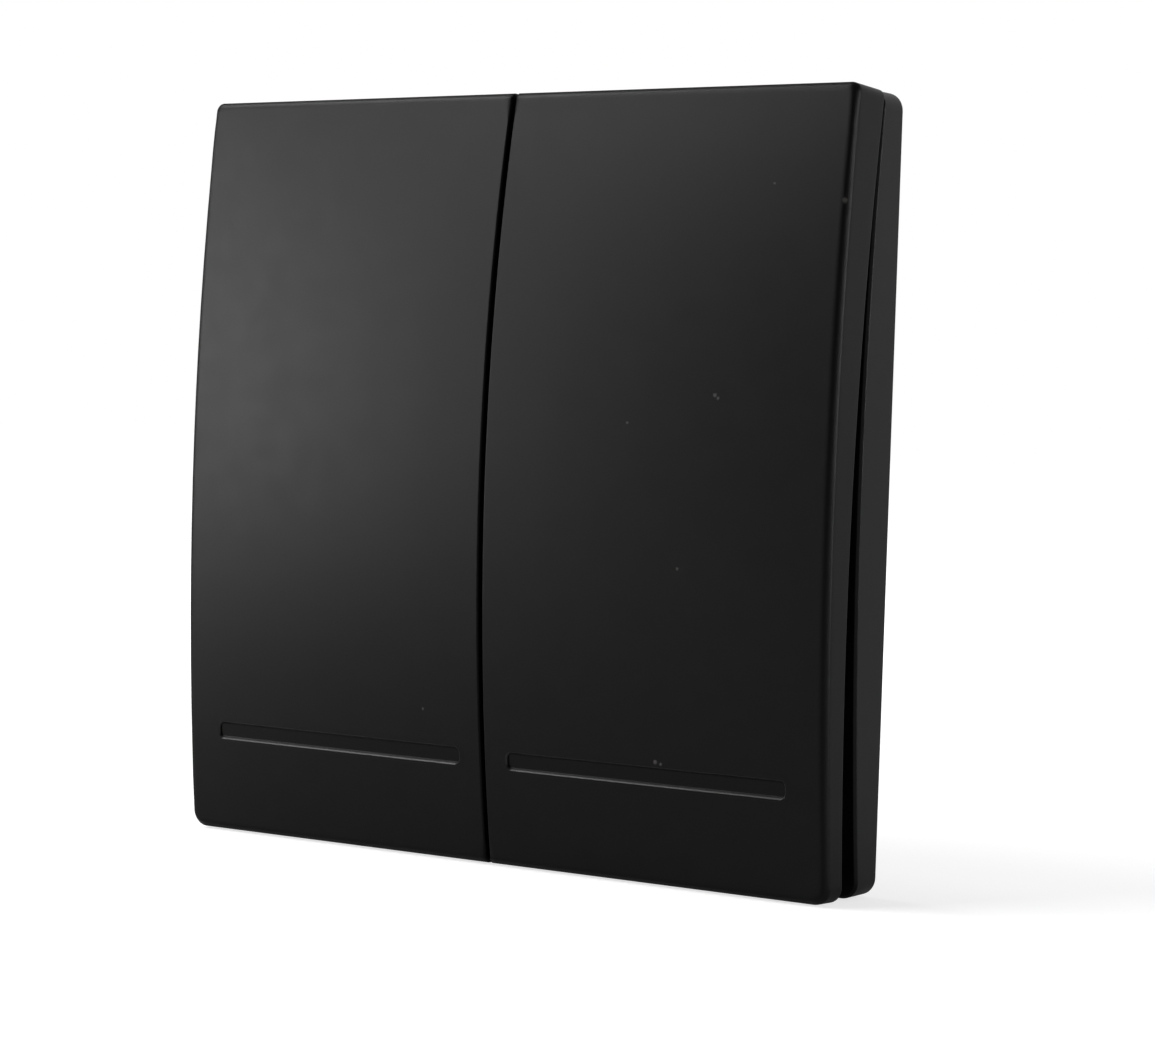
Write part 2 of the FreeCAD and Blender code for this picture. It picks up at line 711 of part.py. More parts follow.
def add_front_edges(body):
    """Bevels the front face's outer edges, and lightly the edge along the split."""
    start, end, half = number(ROCKER_START), number(HALF_WIDTH), number(HALF_HEIGHT)
    sharp = number("size.split_bevel")
    behind = -number("size.crown_low") + number("size.front_bevel")
    corner = max(number("size.key_corner_low"), number("size.key_corner_top")) + sharp

    def outer(edge):
        box = edge.BoundBox
        at_end = box.ZMin > half - corner or box.ZMax < corner - half
        at_side = box.XMin > end - corner
        return box.YMax < behind and (at_end or at_side)

    def along_split(edge):
        box = edge.BoundBox
        return box.YMax < behind and box.XMax < start + sharp and box.ZLength > half

    chamfer(body, "front_bevel", outer, "size.front_bevel")
    chamfer(body, "split_bevel", along_split, "size.split_bevel")


def add_split_relief(body):
    """Leaves only a low lip along the split, so that the board can pass behind it."""
    top = f"({HALF_HEIGHT} - size.shell_wall)"
    low = negative(top)
    edge = {up: negative(f"{crown(ROCKER_START, up)} - size.split_wall") for up in (low, "0", top)}
    outline = {"corners": [("0", low), (edge[low], low), (edge[top], top), ("0", top)],
               "arcs": {1: (edge["0"], "0")}}
    cut_out(body, "split_relief", [outline], "0", f"({ROCKER_START} + size.shell_wall)", "YZ_Plane")


def add_mark(body):
    """A shallow bar sunk into the front, with sloping sides, that follows the crown."""
    low = f"({MARK_HEIGHT} - size.mark_width / 2)"
    top = f"({MARK_HEIGHT} + size.mark_width / 2)"
    sections = []
    for x in ("size.mark_start", f"((size.mark_start + {MARK_END}) / 2)", MARK_END):
        rise = "size.mark_sink"
        corners = [(f"-({crown(x, low)} + {rise})", f"{low} - {rise}"),
                   (f"-({crown(x, top)} + {rise})", f"{top} + {rise}"),
                   (f"-({crown(x, top)} - {rise})", f"{top} - {rise}"),
                   (f"-({crown(x, low)} - {rise})", f"{low} + {rise}")]
        sections.append((x, corners, {}))
    loft("PartDesign::SubtractiveLoft", body, "mark", sections)


def add_ears(body):
    """Two ears outside the chassis's posts, each with a pin that points inwards."""
    low, top = f"{HINGE_HEIGHT} - {EAR_HALF}", f"{HINGE_HEIGHT} + {EAR_HALF}"
    spans = ear_spans()
    for name, (left, right) in spans.items():
        skin = f"({crown(left, HINGE_HEIGHT)} - size.shell_wall / 2)"
        build_out(body, f"ear_{name}", [rectangle(left, low, right, top)],
                  f"size.hinge_depth - {EAR_HALF}", skin)
    pin = circle("-size.hinge_depth", HINGE_HEIGHT, "size.hinge_pin")
    inner, outer = spans["inner"][1], spans["outer"][0]
    length = "(size.post_width + size.ear_gap)"
    build_out(body, "pin_inner", [pin], inner, f"({inner} + {length})", "YZ_Plane")
    build_out(body, "pin_outer", [pin], f"({outer} - {length})", outer, "YZ_Plane")


def add_tongues(body):
    """Two tongues whose barbs reach through the catch windows and stop the rocker at rest."""
    travel = f"(({HINGE_HEIGHT} - {CATCH_HEIGHT}) * sin(size.rest_angle * 1deg))"
    barb_top = f"(size.catch_ledge - {travel} - size.catch_gap)"
    barb_low = f"({barb_top} - size.barb_thickness)"
    low = f"({CATCH_HEIGHT} + size.catch_wall / 2 + size.catch_side_gap)"
    top = f"({low} + size.tongue_thickness)"
    point = f"({low} - size.barb_reach)"
    for name, place in (("inner", "size.catch_inner"), ("outer", CATCH_OUTER)):
        skin = f"({crown(place, top)} - size.shell_wall / 2)"
        outline = {"corners": [
            (negative(skin), top), (negative(barb_low), top), (negative(barb_low), low),
            (negative(f"{barb_low} + size.barb_thickness / 2"), point),
            (negative(barb_top), point), (negative(barb_top), low), (negative(skin), low)]}
        build_out(body, f"tongue_{name}", [outline], f"({place} - size.catch_tongue)",
                  f"({place} + size.catch_tongue)", "YZ_Plane")


def add_ribs(body):
    """A rib down the shell and two across it, which stiffen the front wall."""
    middle = f"(({RIB_TOP} + {RIB_LOW}) / 2)"
    half = "size.rib_thickness / 2"
    x = "size.rib_place"
    low, top = RIB_LOW, RIB_TOP
    skin = {up: negative(f"{crown(x, up)} - size.shell_wall / 2") for up in (low, middle, top)}
    upright = {
        "corners": [(skin[low], low), (skin[top], top), ("-size.rib_top_depth", top),
                    ("-size.rib_low_depth", low)],
        "arcs": {0: (skin[middle], middle)},
    }
    build_out(body, "upright_rib", [upright], f"({x} - {half})", f"({x} + {half})", "YZ_Plane")
    left = f"({ROCKER_START} + size.shell_wall / 2)"
    right = f"({HALF_WIDTH} - size.shell_wall / 2)"
    centre = f"(({left} + {right}) / 2)"
    heights = {"upper": f"({FRAME_TOP} + size.cross_rib_upper_rise)",
               "lower": f"({PRESS_HEIGHT} + size.cross_rib_lower_rise)"}
    for name, up in heights.items():
        back = f"-size.cross_rib_{name}_depth"
        outline = {
            "corners": [(left, back), (right, back),
                        (right, negative(f"{crown(right, up)} - size.shell_wall / 2")),
                        (left, negative(f"{crown(left, up)} - size.shell_wall / 2"))],
            "arcs": {2: (centre, negative(f"{crown(centre, up)} - size.shell_wall / 2"))},
        }
        build_out(body, f"cross_rib_{name}", [outline], f"({up} - {half})", f"({up} + {half})",
                  "XY_Plane")


def add_push_posts(body):
    """The post that pushes the swing lever and the small one that pushes the contact nipple."""
    x = PRESS_PLACE
    stroke = f"(size.lever_reach * sin({LEVER_SWING} / 2 * 1deg))"
    end = f"({PIVOT_DEPTH} + size.lever_thickness / 2 - {stroke} + size.press_gap)"
    skin = f"({crown(x, PRESS_HEIGHT)} - size.shell_wall / 2)"
    build_out(body, "push_post", [circle(x, PRESS_HEIGHT, "size.press_radius")], end, skin)
    travel = f"(({HINGE_HEIGHT} - {TOUCH_HEIGHT}) * sin(size.rest_angle * 1deg))"
    end = f"({BOARD_FACE} + size.nipple_height + size.press_gap - {travel})"
    skin = f"({crown(x, TOUCH_HEIGHT)} - size.shell_wall / 2)"
    build_out(body, "touch_post", [circle(x, TOUCH_HEIGHT, "size.touch_radius")], end, skin)


def make_swing_lever():
    """The lever with its magnet ring and pivot pins, level with the wall at mid-stroke."""
    body = new_body("swing_lever_right")
    x, z, depth = PRESS_PLACE, PIVOT_HEIGHT, PIVOT_DEPTH
    ring = rectangle(f"{x} - size.pack_half_width", f"{z} - size.pack_half_height",
                     f"{x} + size.pack_half_width", f"{z} + size.pack_half_height")
    build_out(body, "ring", [ring], f"({depth} - {PACK_HALF})", f"({depth} + {PACK_HALF})")
    seat = rectangle(f"{x} - size.magnet_width / 2", f"{z} - size.magnet_height / 2",
                     f"{x} + size.magnet_width / 2", f"{z} + size.magnet_height / 2")
    cut_out(body, "magnet_seat", [seat], f"({depth} - {PACK_HALF})", f"({depth} + {PACK_HALF})")
    arm_left = f"({x} - size.pack_half_width - size.arm_width)"
    arm = {"corners": [
        (arm_left, f"{z} + size.pack_half_height"), (arm_left, TIP_END),
        (f"{x} + size.tip_half", TIP_END), (f"{x} + size.tip_half", ARM_END),
        (f"{x} - size.pack_half_width", ARM_END),
        (f"{x} - size.pack_half_width", f"{z} + size.pack_half_height")]}
    build_out(body, "arm", [arm], f"({depth} - size.lever_thickness / 2)",
              f"({depth} + size.lever_thickness / 2)")
    pin = circle(negative(depth), z, "size.pivot_pin")
    end = f"({x} + size.pack_half_width + size.bearing_side_gap + size.bearing_wall)"
    build_out(body, "pin_right", [pin], f"({x} + size.pack_half_width)", end, "YZ_Plane")
    build_out(body, "pin_left", [pin], f"({x} - size.frame_left)", arm_left, "YZ_Plane")
    corners = ((arm_left, TIP_END), (f"{x} + size.tip_half", TIP_END))
    fillet(body, "tip_corners", at_corner(*corners), "size.chassis_corner")
    return body


def make_frame():
    """The generator's frame: windowed floor, curb, bearings, core seats and a screw lug."""
    body = new_body("generator_frame_right")
    x, z = PRESS_PLACE, PIVOT_HEIGHT
    left, right = f"({x} - size.frame_left)", f"({x} + size.frame_right)"
    low, top = FRAME_LOW, FRAME_TOP
    floor = rectangle(left, low, right, top)
    curb_top = f"({FRAME_FACE} + size.curb_height)"
    build_out(body, "floor", [floor], CHASSIS_FACE, curb_top)
    inner = rectangle(f"{left} + size.frame_curb", f"{low} + size.frame_curb",
                      f"{right} - size.frame_curb", f"{top} - size.frame_curb")
    cut_out(body, "curb", [inner], FRAME_FACE, curb_top)
    bearing = f"({x} + size.pack_half_width + size.bearing_side_gap)"
    rotor = rectangle(f"{x} - size.pack_half_width - size.plate_side_gap",
                      f"{z} - size.rotor_window_half",
                      f"{x} + size.pack_half_width + size.plate_side_gap",
                      f"{z} + size.rotor_window_half")
    coil = rectangle(f"{bearing} + size.bearing_wall + size.plate_side_gap",
                     f"{z} - size.tongue_place + size.core_width / 2",
                     f"{CORE_X} + size.bobbin_half_width + size.plate_side_gap",
                     f"{z} + size.tongue_place - size.core_width / 2")
    cut_out(body, "windows", [rotor, coil], CHASSIS_FACE, FRAME_FACE)
    bearing_top = f"({PIVOT_DEPTH} + size.bearing_rise)"
    walls = [rectangle(start, f"{z} - size.bearing_half", f"{start} + size.bearing_wall",
                       f"{z} + size.bearing_half") for start in (left, bearing)]
    build_out(body, "bearings", walls, CHASSIS_FACE, bearing_top)
    bore = circle(f"-{PIVOT_DEPTH}", z, "size.pivot_pin + size.running_gap")
    end = f"({bearing} + size.bearing_wall)"
    cut_out(body, "bearing_bores", [bore], left, end, "YZ_Plane")
    mouth = rectangle(negative(f"{bearing_top} + size.curb_height"), f"{z} - size.pin_slot",
                      f"-{PIVOT_DEPTH}", f"{z} + size.pin_slot")
    cut_out(body, "bearing_mouths", [mouth], left, end, "YZ_Plane")
    core_back = f"({PIVOT_DEPTH} - size.core_thickness / 2)"
    core_edge = f"({CORE_X} + size.core_width / 2)"
    seats, cheeks = [], []
    for way in ("+", "-"):
        centre = f"{z} {way} size.tongue_place"
        seats.append(rectangle(
            f"{core_edge} - size.core_width", f"{centre} - size.core_width / 2",
            f"{core_edge} + size.bearing_wall", f"{centre} + size.core_width / 2"))
        cheeks.append(rectangle(
            f"{core_edge} + size.bobbin_gap", f"{centre} - size.core_width / 2",
            f"{core_edge} + size.bearing_wall", f"{centre} + size.core_width / 2"))
    build_out(body, "core_seats", seats, CHASSIS_FACE, core_back)
    build_out(body, "core_cheeks", cheeks, core_back,
              f"({PIVOT_DEPTH} + size.core_thickness / 2 + size.plate_thickness)")
    lug_x, lug_z = lug_places()[0]
    lug_left, lug_right = f"({lug_x} - size.lug_radius)", f"({lug_x} + size.lug_radius)"
    lug_top = f"({LUG_SEAT} + size.lug_thickness)"
    post = rectangle(lug_left, low, lug_right, f"{low} + size.frame_curb")
    build_out(body, "lug_post", [post], CHASSIS_FACE, lug_top)
    lug = {"corners": [(lug_right, low), (lug_left, low), (lug_left, lug_z), (lug_right, lug_z)],
           "arcs": {2: (lug_x, f"{lug_z} - size.lug_radius")}}
    build_out(body, "lug", [lug], LUG_SEAT, lug_top)
    hole = circle(lug_x, lug_z, "size.screw_radius + size.pilot_gap")
    cut_out(body, "lug_hole", [hole], LUG_SEAT, lug_top)
    stop_top = f"({z} - size.hairpin_top_drop + size.hairpin_bend + size.frame_curb)"
    stop = rectangle(f"{left} + size.frame_curb", f"({stop_top} - size.frame_curb)",
                     f"({x} - size.pack_half_width - size.plate_side_gap)", stop_top)
    build_out(body, "spring_stop", [stop], FRAME_FACE, curb_top)
    return body


def make_core():
    """A C of soft iron: one leg through the coil, two arms that end between the pole plates."""
    body = new_body("iron_core_right")
    z = PIVOT_HEIGHT
    outer = f"({CORE_X} + size.core_width / 2)"
    inner = f"({CORE_X} - size.core_width / 2)"
    tip = f"({PRESS_PLACE} - size.tongue_reach)"
    far = "(size.tongue_place + size.core_width / 2)"
    near = "(size.tongue_place - size.core_width / 2)"
    outline = {"corners": [
        (tip, f"{z} + {far}"), (outer, f"{z} + {far}"), (outer, f"{z} - {far}"),
        (tip, f"{z} - {far}"), (tip, f"{z} - {near}"), (inner, f"{z} - {near}"),
        (inner, f"{z} + {near}"), (tip, f"{z} + {near}")]}
    build_out(body, "bar", [outline], f"({PIVOT_DEPTH} - size.core_thickness / 2)",
              f"({PIVOT_DEPTH} + size.core_thickness / 2)")
    return body


def coil_rectangle(half_width, half_depth):
    """A rectangle round the coil's axis, seen from above."""
    return rectangle(f"{CORE_X} - ({half_width})", f"-({PIVOT_DEPTH} + {half_depth})",
                     f"{CORE_X} + ({half_width})", f"-({PIVOT_DEPTH} - ({half_depth}))")


def make_coil():
    """The bobbin and its winding, both round the upright leg of the core."""
    reach = "(size.tongue_place - size.core_width / 2 - size.bobbin_end_gap)"
    low, high = f"({PIVOT_HEIGHT} - {reach})", f"({PIVOT_HEIGHT} + {reach})"
    hole = ("size.core_width / 2 + size.bobbin_gap", "size.core_thickness / 2 + size.bobbin_gap")
    tube = tuple(f"({half} + size.bobbin_wall)" for half in hole)
    bobbin = new_body("coil_bobbin_right")
    build_out(bobbin, "tube", [coil_rectangle(*tube)], low, high, "XY_Plane")
    flange = coil_rectangle("size.bobbin_half_width", "size.bobbin_half_depth")
    build_out(bobbin, "lower_flange", [flange], low, f"({low} + size.bobbin_wall)", "XY_Plane")
    build_out(bobbin, "upper_flange", [flange], f"({high} - size.bobbin_wall)", high, "XY_Plane")
    cut_out(bobbin, "bore", [coil_rectangle(*hole)], low, high, "XY_Plane")
    winding = new_body("coil_winding_right")
    start, end = f"({low} + size.bobbin_wall)", f"({high} - size.bobbin_wall)"
    outer = coil_rectangle("size.winding_half_width", "size.winding_half_depth")
    build_out(winding, "turns", [outer], start, end, "XY_Plane")
    middle = number(PIVOT_HEIGHT)

    def long_edge(edge):
        return edge.BoundBox.ZLength > 1 and abs(edge.BoundBox.Center.z - middle) < 1

    fillet(winding, "round", long_edge, "size.winding_corner")
    cut_out(winding, "hollow", [coil_rectangle(*tube)], start, end, "XY_Plane")
    return bobbin, winding


def make_rotor_parts():
    """The magnet and the two pole plates that clamp it, at mid-stroke."""
    x, z = PRESS_PLACE, PIVOT_HEIGHT
    magnet = new_body("magnet_right")
    outline = rectangle(f"{x} - size.magnet_width / 2", f"{z} - size.magnet_height / 2",
                        f"{x} + size.magnet_width / 2", f"{z} + size.magnet_height / 2")
    build_out(magnet, "block", [outline], f"({PIVOT_DEPTH} - {PACK_HALF})",
              f"({PIVOT_DEPTH} + {PACK_HALF})")
    width = "(2 * (size.pack_half_width - size.plate_side_gap))"
    plates = [block(f"pole_plate_{name}", x, z, width, "size.plate_length", back, "size.plate_thickness")
              for name, back in (("front", f"({PIVOT_DEPTH} + {PACK_HALF})"),
                                 ("rear", f"({PIVOT_DEPTH} - {PACK_HALF} - size.plate_thickness)"))]
    return magnet, join("pole_plates_right", plates)


def make_spring():
    """A hairpin of spring strip: one leg on the frame's floor, one under the lever's arm."""
    body = new_body("torsion_spring_right")
    x, z = PRESS_PLACE, PIVOT_HEIGHT
    thick = "size.hairpin_thickness"
    bend = f"({z} - size.hairpin_top_drop)"
    foot = f"({FRAME_LOW} + size.frame_curb)"
    tip = f"({z} - size.hairpin_tip_drop)"
    middle = f"({FRAME_FACE} + size.hairpin_bend)"
    upper = f"({middle} + size.hairpin_bend)"
    lift = f"(size.hairpin_tip_drop * sin({LEVER_SWING} / 2 * 1deg))"
    front = f"({PIVOT_DEPTH} - size.lever_thickness / 2 + {lift} - size.hairpin_gap)"
    outline = {
        "corners": [
            (negative(FRAME_FACE), foot), (negative(FRAME_FACE), bend), (negative(upper), bend),
            (negative(front), tip), (negative(f"{front} - {thick}"), tip),
            (negative(f"{upper} - {thick}"), bend), (negative(f"{FRAME_FACE} + {thick}"), bend),
            (negative(f"{FRAME_FACE} + {thick}"), foot)],
        "arcs": {1: (negative(middle), f"{bend} + size.hairpin_bend"),
                 5: (negative(middle), f"{bend} + size.hairpin_bend - {thick}")},
    }
    centre = f"({x} - size.pack_half_width - size.arm_width / 2)"
    build_out(body, "strip", [outline], f"({centre} - size.hairpin_width / 2)",
              f"({centre} + size.hairpin_width / 2)", "YZ_Plane")
    return body


def make_screw(name, x, z, seat, clamped):
    """A pan-head screw with a slot, through what it clamps and into its seat."""
    shank = rod(f"{name}_shank", x, z, "size.screw_radius - 2 * size.pilot_gap",
                f"({seat} - size.screw_bite)", f"size.screw_bite + {clamped}")
    head_back = f"({seat} + {clamped})"
    head = rod(f"{name}_head", x, z, "size.screw_head", head_back, "size.screw_head_height")
    whole = doc.addObject("Part::MultiFuse", f"{name}_solid")
    whole.Shapes = [shank, head]
    screw = doc.addObject("Part::Cut", name)
    screw.Base = whole
    screw.Tool = block(f"{name}_slot", x, z, "3 * size.screw_head", "size.screw_slot",
                       f"({head_back} + size.screw_head_height / 2)", "size.screw_head_height")
    return screw


def make_board():
    """The circuit board with holes for its screws."""
    body = new_body("circuit_board")
    low, top, half = BOARD_LOW, BOARD_TOP, BOARD_HALF
    sheet_outline = rectangle(negative(half), low, half, top)
    build_out(body, "sheet", [sheet_outline], "size.board_depth", BOARD_FACE)
    holes = [circle(x, z, "size.screw_radius + size.pilot_gap") for x, z in board_screw_places()]
    cut_out(body, "holes", holes, "size.board_depth", BOARD_FACE)
    return body


def make_nipple():
    """A hollow silicone cone on a square foot, which the rocker's small post pushes in."""
    body = new_body("contact_nipple_right")
    x, z, wall = PRESS_PLACE, TOUCH_HEIGHT, "size.nipple_wall"
    foot_front = f"({BOARD_FACE} + {wall})"
    tip = f"({BOARD_FACE} + size.nipple_height)"
    foot = rectangle(f"{x} - size.nipple_foot", f"{z} - size.nipple_foot",
                     f"{x} + size.nipple_foot", f"{z} + size.nipple_foot")
    build_out(body, "foot", [foot], BOARD_FACE, foot_front)
    cone = [(negative(foot_front), z), (negative(foot_front), f"{z} + size.nipple_base"),
            (negative(tip), f"{z} + size.nipple_top"), (negative(tip), z)]
    turn_profile("PartDesign::Revolution", body, "cone", x, cone)
    hollow = [(negative(BOARD_FACE), z), (negative(BOARD_FACE), f"{z} + size.nipple_base - {wall}"),
              (negative(f"{tip} - 2 * {wall}"), f"{z} + size.nipple_top - {wall}"),
              (negative(f"{tip} - 2 * {wall}"), z)]
    turn_profile("PartDesign::Groove", body, "hollow", x, hollow)
    return body


def turn_profile(kind, body, name, place, corners):
    """Turns a profile about its own last side, which is level and runs into the wall."""
    sketch = sketch_on(body, f"{name}_profile", "YZ_Plane", place)
    draw_outline(sketch, corners)
    ends = [FreeCAD.Vector(number(x), number(y), 0) for x, y in (corners[0], corners[-1])]
    axis = sketch.addGeometry(Part.LineSegment(*ends), True)
    pin_point(sketch, axis, 1, *corners[0])
    pin_point(sketch, axis, 2, *corners[-1])
    turned = body.newObject(kind, name)
    turned.Profile = sketch
    turned.ReferenceAxis = (sketch, ["Axis0"])
    turned.Angle = 360
    return turned


def make_antenna():
    """A stamped strip that winds to and fro above the board, on two feet."""
    body = new_body("antenna")
    strip = "size.antenna_strip"
    low, top = f"({TOUCH_HEIGHT} + size.antenna_low)", f"({TOUCH_HEIGHT} + size.antenna_top)"
    back = f"({BOARD_FACE} + size.antenna_lift)"
    front = f"({back} + size.antenna_thickness)"
    places = [f"({PRESS_PLACE} - size.antenna_shift + {count} * size.antenna_pitch)"
              for count in range(round(number("size.antenna_links")) + 1)]
    bars = [rectangle(x, low, f"({x} + {strip})", top) for x in places]
    build_out(body, "bars", bars, back, front)
    ends = ((f"({top} - {strip})", top), (low, f"({low} + {strip})"))
    for start, (edge, other) in enumerate(ends):
        links = [rectangle(x, edge, f"({x} + size.antenna_pitch + {strip})", other)
                 for x in places[start:-1:2]]
        build_out(body, f"links_{start}", links, back, front)
    feet = [rectangle(x, low, f"({x} + {strip})", f"({low} + size.antenna_thickness)")
            for x in (places[0], places[-1])]
    build_out(body, "feet", feet, BOARD_FACE, back)
    return body


def make_board_parts():
    """What is soldered on the board's front face."""
    face = BOARD_FACE
    level = f"({TOUCH_HEIGHT} - size.chip_drop)"
    chip = block("radio_chip", "0", level, "size.chip_size", "size.chip_size", face,
                 "size.chip_thickness")
    crystal = block("crystal", "size.crystal_place", level, "size.crystal_width",
                    "size.crystal_length", face, "size.crystal_thickness")
    tanks = [block(f"capacitor_{count}", x, POWER_HEIGHT, "size.capacitor_length",
                   "size.capacitor_width", face, "size.capacitor_thickness")
             for count, x in enumerate(both_sides(f"({PRESS_PLACE} - size.capacitor_shift)"))]
    bridges = [block(f"rectifier_{count}", x, POWER_HEIGHT, "size.rectifier_size",
                     "size.rectifier_size", face, "size.rectifier_thickness")
               for count, x in enumerate(both_sides(f"({PRESS_PLACE} + size.rectifier_shift)"))]
    choke = rod("choke", "0", f"({TOUCH_HEIGHT} - size.choke_drop)", "size.choke_radius", face,
                "size.choke_thickness")
    return [chip, crystal, join("storage_capacitors", tanks), join("rectifiers", bridges), choke]


back_plate = make_back_plate()
chassis = make_chassis()
rocker = make_rocker()
lever = make_swing_lever()
magnet, plates = make_rotor_parts()
frame = make_frame()
core = make_core()
bobbin, winding = make_coil()
spring = make_spring()
board = make_board()
nipple = make_nipple()
antenna = make_antenna()
board_parts = make_board_parts()
board_screws = join("board_screws", [
    make_screw(f"board_screw_{count}", *place, "size.board_depth", "size.board_thickness")
    for count, place in enumerate(board_screw_places())])
frame_screws = join("frame_screws", [
    make_screw(f"frame_screw_{count}", *place, LUG_SEAT, "size.lug_thickness")
    for count, place in enumerate(lug_places())])

turn_about(rocker, "size.hinge_depth", HINGE_HEIGHT, -number("size.rest_angle"))
for piece in (lever, magnet, plates):
    turn_about(piece, PIVOT_DEPTH, PIVOT_HEIGHT, -number(LEVER_SWING) / 2)

pieces = [back_plate, chassis, board, antenna, board_screws, frame_screws, *board_parts]
for piece in (rocker, lever, magnet, plates, frame, core, bobbin, winding, spring, nipple):
    pieces += [piece, mirror_piece(piece, piece.Label.replace("_right", "_left"))]
doc.recompute()

for item in doc.Objects:
    if "Invalid" in item.State or "Error" in item.State:
        raise RuntimeError(f"{item.Label}: {item.State}")
for body in (item for item in doc.Objects if item.TypeId == "PartDesign::Body"):
    volume = 0
    for feature in body.Group:
        if hasattr(feature, "BaseFeature"):
            change = feature.Shape.Volume - volume
            if abs(change) < 1e-6:
                raise RuntimeError(f"{body.Label}: {feature.Label} changes nothing")
            volume = feature.Shape.Volume
os.makedirs("parts", exist_ok=True)
for piece in pieces:
    if piece.Shape.isNull() or not piece.Shape.isValid():
        raise RuntimeError(f"{piece.Label} has no valid shape")
    piece.Shape.exportStep(f"parts/{piece.Label}.step")
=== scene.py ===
import json
import math

import bpy
from mathutils import Matrix, Vector
from mathutils.bvhtree import BVHTree


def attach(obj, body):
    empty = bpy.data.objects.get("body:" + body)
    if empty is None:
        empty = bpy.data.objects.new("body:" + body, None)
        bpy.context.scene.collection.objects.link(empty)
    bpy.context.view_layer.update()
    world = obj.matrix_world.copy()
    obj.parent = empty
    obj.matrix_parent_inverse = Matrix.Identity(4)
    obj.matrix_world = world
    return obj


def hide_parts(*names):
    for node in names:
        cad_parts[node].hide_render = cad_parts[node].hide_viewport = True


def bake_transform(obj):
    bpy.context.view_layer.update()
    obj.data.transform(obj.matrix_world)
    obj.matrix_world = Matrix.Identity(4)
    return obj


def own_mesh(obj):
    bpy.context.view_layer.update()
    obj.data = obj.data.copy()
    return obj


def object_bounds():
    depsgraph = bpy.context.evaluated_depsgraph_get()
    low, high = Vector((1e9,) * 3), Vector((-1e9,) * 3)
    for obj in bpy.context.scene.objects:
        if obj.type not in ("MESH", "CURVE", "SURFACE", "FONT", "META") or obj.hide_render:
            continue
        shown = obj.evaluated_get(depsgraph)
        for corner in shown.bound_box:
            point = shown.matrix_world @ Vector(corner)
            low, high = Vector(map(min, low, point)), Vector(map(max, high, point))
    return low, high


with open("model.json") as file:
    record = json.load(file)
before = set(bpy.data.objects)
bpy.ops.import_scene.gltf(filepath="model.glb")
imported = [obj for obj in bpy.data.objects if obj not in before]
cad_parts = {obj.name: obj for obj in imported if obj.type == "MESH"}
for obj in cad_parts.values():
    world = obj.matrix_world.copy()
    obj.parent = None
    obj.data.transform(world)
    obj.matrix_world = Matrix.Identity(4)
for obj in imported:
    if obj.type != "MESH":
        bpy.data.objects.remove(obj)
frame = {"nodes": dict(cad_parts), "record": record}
cad_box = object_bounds()

MM = 0.001
IMAGE_WIDTH = 1155

# Camera, fitted to the photograph's outlines: millimetres and degrees.
CAMERA_PLACE = (191.732, -292.046, 8.390)
CAMERA_YAW = 32.802
CAMERA_DOWN = 2.150
CAMERA_ROLL = 1.831
CAMERA_FOCUS_PIXELS = 3050.985
SENSOR_WIDTH = 36
CLIP_START = 0.01

# The floor: its drop is in millimetres, its reach and the glow's distances are in metres. The
# camera sees the glow on top of the light that falls on the floor, and reflections see a share
# of it. There is less glow at the object, so that a faint shadow shows.
FLOOR_DROP = 0.15
FLOOR_REACH = 3.0
FLOOR_TONE = 0.5
FLOOR_ROUGHNESS = 0.9
FLOOR_REFLECTED = 0.1
GLOW_FROM, GLOW_TO = 0.1, 0.35
GLOW_AT_OBJECT = 0.68

# The world: white for the camera, and for the rest a dim room before the object and a backdrop
# behind it, which comes in between these two parts of a direction towards the wall.
BACKGROUND = 1.0
ROOM = 0.1
BACKDROP = 0.8
BACKDROP_FROM, BACKDROP_TO = 0.4, 1.0

# Softboxes: azimuth (0 in front of the object, 90 on its right) and elevation in degrees, width
# and height in metres, and watts. They all stand at one distance, in metres.
LIGHT_DISTANCE = 1.2
LIGHTS = {
    "key_low": (-50, -5, 0.35, 0.35, 10.9),
    "key_mid": (-50, 12, 0.35, 0.35, 6.7),
    "key_high": (-35, 30, 0.35, 0.35, 5),
    "rim_left": (-58, 48, 0.35, 0.35, 5),
    "rim_top": (-87, 56, 0.35, 0.35, 4),
    "rim_right": (102, 0, 0.12, 0.8, 16),
}

# The variation of the plain surfaces: noise in cells per metre, the part of its range that is
# used, and the grain's depth in millimetres.
NOISE_LOW, NOISE_HIGH = 0.3, 0.7
CLOUD_SCALE = 60
PATCH_SCALE = 220
ROUGHNESS_SPREAD = 0.06
GRAIN_SCALE = 4000
GRAIN_DEPTH = 0.02

# The satin black of the keys and the tray: millimetres for lengths, cells per metre for scales.
SHELL_TONE = 0.003
SHELL_TONE_SPREAD = 0.07
SHELL_CLOUD_SCALE = 90
SHELL_ROUGHNESS = 0.38
SHELL_ROUGHNESS_SPREAD = 0.015
SHELL_PATCH_SCALE = 400
SHELL_SPECULAR = 0.14
KEY_SPECULAR = 0.1
WALL_SPECULAR = 0.5
SHELL_TEXTURE = 0.003
SHELL_TEXTURE_SCALE = 7000

# The softened look of edges: radii in millimetres, larger towards a key's outer edges, between
# these two distances. Where the softened normal turns this far backward, the small radius stays.
BEVEL_SAMPLES = 8
EDGE_SOFTNESS = 0.2
OUTER_SOFTNESS = 0.9
OUTER_FROM, OUTER_TO = 39.5, 42.2
WALL_SOFTNESS = 0.1
BACKWARD = 0.08

# The bar sunk into each key, in the pressed key's place, and its lip: millimetres and degrees.
HINGE = (0, -6, 39)
REST_ANGLE = 2.2
RAY_START = -30
MARK_HEIGHT = -31.15
MARK_HALF = 1.05
MARK_SPAN = (3.1, 38.3)
MARK_SINK = 0.28
MARK_CORNER = 0.75
CORNER_STEPS = 8
LIP_WIDTH = 0.4
LIP_RAISE = 0.02
LIP_EDGE = 0.17
LIP_SPACING = 1.5

